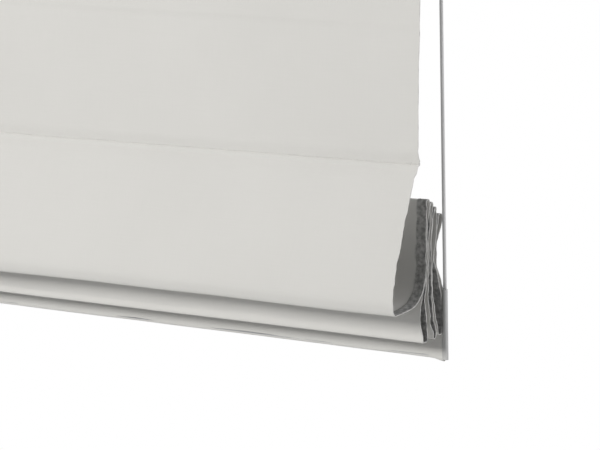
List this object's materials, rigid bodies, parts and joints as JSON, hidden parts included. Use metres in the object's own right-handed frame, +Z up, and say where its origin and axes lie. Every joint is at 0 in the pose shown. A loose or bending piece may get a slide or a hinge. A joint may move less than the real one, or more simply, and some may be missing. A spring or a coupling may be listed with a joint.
{
  "type": "roman blind",
  "caption": "Partly raised plain roman blind with soft pleats, stiff ribs, weighted bottom bar, lift cords and a spring-balanced winding headrail on wall brackets.",
  "frame": {"origin": "on the wall plane, in the middle of the four wall screw holes of the two brackets", "axes": "+X to the right as seen from the room, -Y into the room, +Z up"},
  "size_m": [0.6276, 0.0972, 0.6861],
  "materials": {
    "cloth": "matt plain weave",
    "lift_cord": "braided",
    "white_plastic": "satin moulded",
    "grey_plastic": "satin moulded",
    "clear_plastic": "moulded",
    "rail_aluminium": "powder coated",
    "bracket_steel": "powder coated",
    "bright_steel": "zinc plated",
    "bar_aluminium": "mill",
    "rib_glassfibre": "pultruded",
    "white_tape": "hook and loop"
  },
  "bodies": {
    "headrail_body": {"bracket_left": "bracket_steel", "bracket_right": "bracket_steel", "cover_screws": "bright_steel", "cradle_left": "white_plastic", "cradle_left_edge": "white_plastic", "cradle_right": "white_plastic", "cradle_right_edge": "white_plastic", "drive_spring": "bright_steel", "edge_cord_left": "lift_cord", "edge_cord_right": "lift_cord", "eyelet_left": "white_plastic", "eyelet_left_edge": "white_plastic", "eyelet_right": "white_plastic", "eyelet_right_edge": "white_plastic", "fabric_upper": "cloth", "headrail": "rail_aluminium", "headrail_cap_left": "white_plastic", "headrail_cap_right": "white_plastic", "hook_tape": "white_tape", "inner_cord_left": "lift_cord", "inner_cord_right": "lift_cord", "loop_tape": "white_tape", "spring_cover": "grey_plastic", "spring_housing": "grey_plastic"},
    "pleat_stack": {"fabric_folds": "cloth", "bottom_bar": "bar_aluminium", "bar_cap_left": "white_plastic", "bar_cap_right": "white_plastic", "stack_rib_tips": "white_plastic", "stack_cord_rings": "clear_plastic", "cord_stop_left": "clear_plastic", "cord_stop_right": "clear_plastic", "stack_rib_1": "rib_glassfibre", "stack_rib_2": "rib_glassfibre", "stack_rib_3": "rib_glassfibre", "stack_rib_4": "rib_glassfibre", "stack_rib_5": "rib_glassfibre"},
    "upper_rib_body": {"upper_rib": "rib_glassfibre", "upper_rib_tips": "white_plastic", "upper_cord_rings": "clear_plastic"},
    "winding_shaft_body": {"winding_shaft": "bright_steel", "output_drum": "grey_plastic", "spool_left_edge": "white_plastic", "spool_left": "white_plastic", "spool_right": "white_plastic", "spool_right_edge": "white_plastic", "wound_cord_left_edge": "lift_cord", "wound_cord_left": "lift_cord", "wound_cord_right": "lift_cord", "wound_cord_right_edge": "lift_cord"},
    "storage_drum_body": {"storage_drum": "grey_plastic"}
  },
  "joints": [
    {"name": "lift", "type": "slide", "parent": "headrail_body", "child": "pleat_stack", "axis": [0, 0, 1], "range_m": [0, 0.42], "deforming": ["fabric_upper", "edge_cord_left", "edge_cord_right", "inner_cord_left", "inner_cord_right"]},
    {"name": "upper_rib_lift", "type": "slide", "parent": "headrail_body", "child": "upper_rib_body", "axis": [0, 0, 1], "range_m": [0, 0.2204]},
    {"name": "shaft_turn", "type": "hinge", "parent": "headrail_body", "child": "winding_shaft_body", "pos_m": [0, -0.0358, 0], "axis": [1, 0, 0], "continuous": true},
    {"name": "storage_turn", "type": "hinge", "parent": "headrail_body", "child": "storage_drum_body", "pos_m": [0, -0.0206, 0], "axis": [1, 0, 0], "continuous": true}
  ],
  "couplings": [
    {"joint": "upper_rib_lift", "follows": "lift", "ratio": 0.52458},
    {"joint": "shaft_turn", "follows": "lift", "rad_per_m": -117.65},
    {"joint": "storage_turn", "follows": "lift", "rad_per_m": 117.65}
  ]
}
